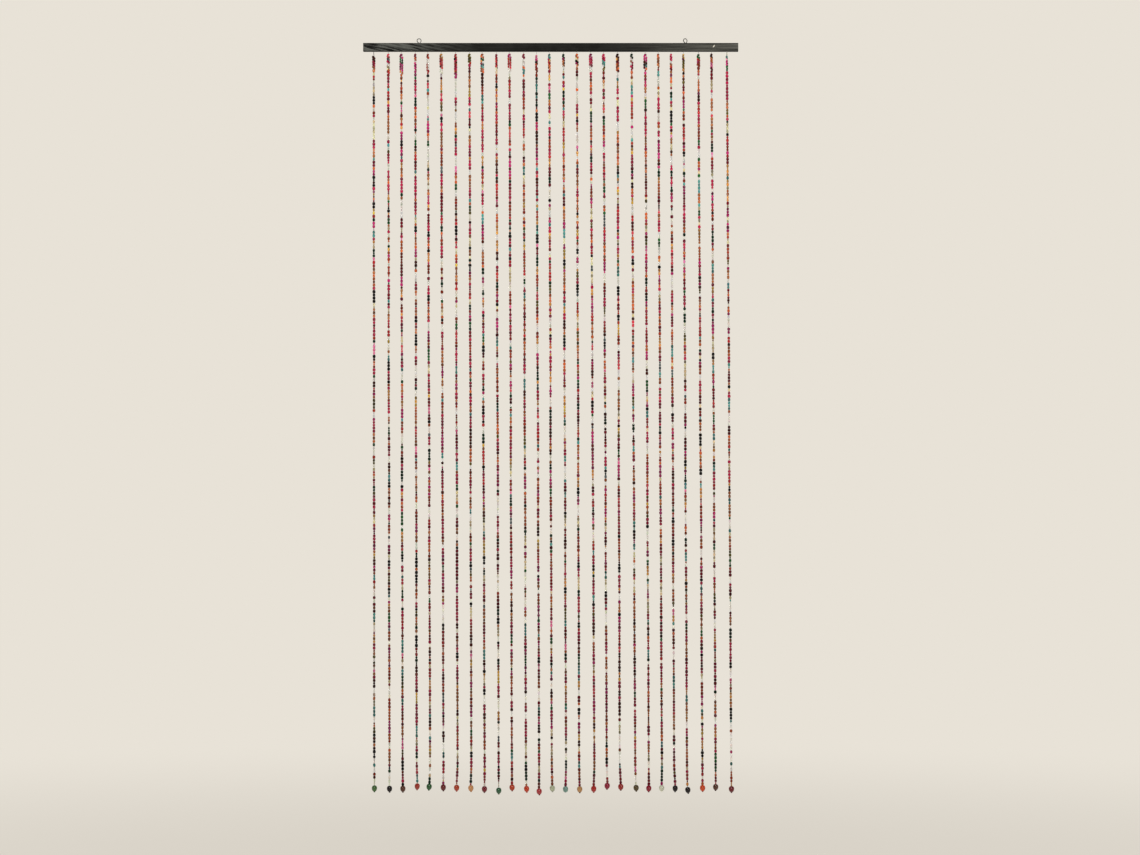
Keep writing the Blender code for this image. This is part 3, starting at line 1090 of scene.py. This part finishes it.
def world():
    """Plain pale background, with the light around brighter behind the curtain than in front."""
    made = bpy.data.worlds.new("studio")
    bpy.context.scene.world = made
    made.use_nodes = True
    nodes, links = made.node_tree.nodes, made.node_tree.links
    seen = nodes["Background"]
    seen.inputs["Color"].default_value = (*linear(BACKGROUND), 1.0)
    around = nodes.new("ShaderNodeTexCoord")
    split = nodes.new("ShaderNodeSeparateXYZ")
    change = nodes.new("ShaderNodeMapRange")
    change.interpolation_type = "SMOOTHSTEP"
    change.inputs["From Min"].default_value = -0.1
    change.inputs["From Max"].default_value = 0.5
    change.inputs["To Min"].default_value = LIGHT_IN_FRONT
    change.inputs["To Max"].default_value = LIGHT_BEHIND
    light = nodes.new("ShaderNodeBackground")
    light.inputs["Color"].default_value = SOFT_WHITE
    path = nodes.new("ShaderNodeLightPath")
    either = nodes.new("ShaderNodeMixShader")
    links.new(around.outputs["Generated"], split.inputs[0])
    links.new(split.outputs["Y"], change.inputs["Value"])
    links.new(change.outputs["Result"], light.inputs["Strength"])
    links.new(path.outputs["Is Camera Ray"], either.inputs[0])
    links.new(light.outputs[0], either.inputs[1])
    links.new(seen.outputs[0], either.inputs[2])
    links.new(either.outputs[0], nodes["World Output"].inputs["Surface"])


# Colour of the lamps and the place they point at; name, place, size and power of each soft box
WARM_WHITE = (1.0, 0.955, 0.895)
LAMPS_AIM = (0, 0, -0.9)
SOFT_BOXES = (
    ("key", (-0.6, -4.6, 2.0), 2.6, 160),
    ("fill", (2.6, -4.2, -0.8), 1.0, 30),
)


def lights():
    middle = Vector(LAMPS_AIM)
    for name, place, size, power in SOFT_BOXES:
        data = bpy.data.lights.new(name, "AREA")
        data.size = size
        data.energy = power
        data.color = WARM_WHITE
        light = bpy.data.objects.new(name, data)
        light.location = place
        light.rotation_euler = (middle - light.location).to_track_quat("-Z", "Y").to_euler()
        bpy.context.collection.objects.link(light)
    bpy.context.scene.view_settings.view_transform = "Standard"


def camera():
    """Stand the camera so that the rail and the feet fall where the photograph has them."""
    scale = RAIL_PIXELS / RAIL_LENGTH
    near = CAMERA_DISTANCE
    tilt = asin(near * (1 - 1 / FOOT_SPREAD) / CURTAIN_DROP)
    rise = (PHOTO_HEIGHT / 2 - RAIL_TOP_Y) / scale
    away = near * cos(tilt) - rise * sin(tilt)
    below = near * sin(tilt) + rise * cos(tilt)
    data = bpy.data.cameras.new("camera")
    data.sensor_fit = "HORIZONTAL"
    data.lens = data.sensor_width * scale * near / PHOTO_WIDTH
    obj = bpy.data.objects.new("camera", data)
    obj.location = (
        RAIL_X + (PHOTO_WIDTH / 2 - RAIL_MIDDLE_X) / scale,
        -RAIL_DEPTH / 2 - away,
        RAIL_TOP - below,
    )
    obj.rotation_euler = (pi / 2 + tilt, 0, 0)
    bpy.context.collection.objects.link(obj)
    bpy.context.scene.camera = obj


def main():
    streaks = streak_group()
    grain = grain_group()
    glasses = {name: glass(name, finish, streaks) for name, finish in FINISHES.items()}
    bead_glasses = [glasses[name] for name in BEAD_FINISHES]
    camera()
    world()
    lights()
    floor()
    rail(black_paint(grain))
    backing(strip_stain(grain))
    zinc = zinc_wire()
    for side, turn in EYE_TURNS.items():
        screw_eye(side, turn, zinc)
    pattern = bead_pattern()
    for index in range(len(STRINGS)):
        string_of_beads(index, pattern, bead_glasses)
    threads(nylon("clear_nylon", *CLEAR_NYLON), nylon("dark_nylon", *DARK_NYLON))
    end_beads([glasses[name] for name in DROP_FINISHES])


main()
boxes = {"cad": cad_box, "visual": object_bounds()}
{name: [list(corner) for corner in box] for name, box in boxes.items()}
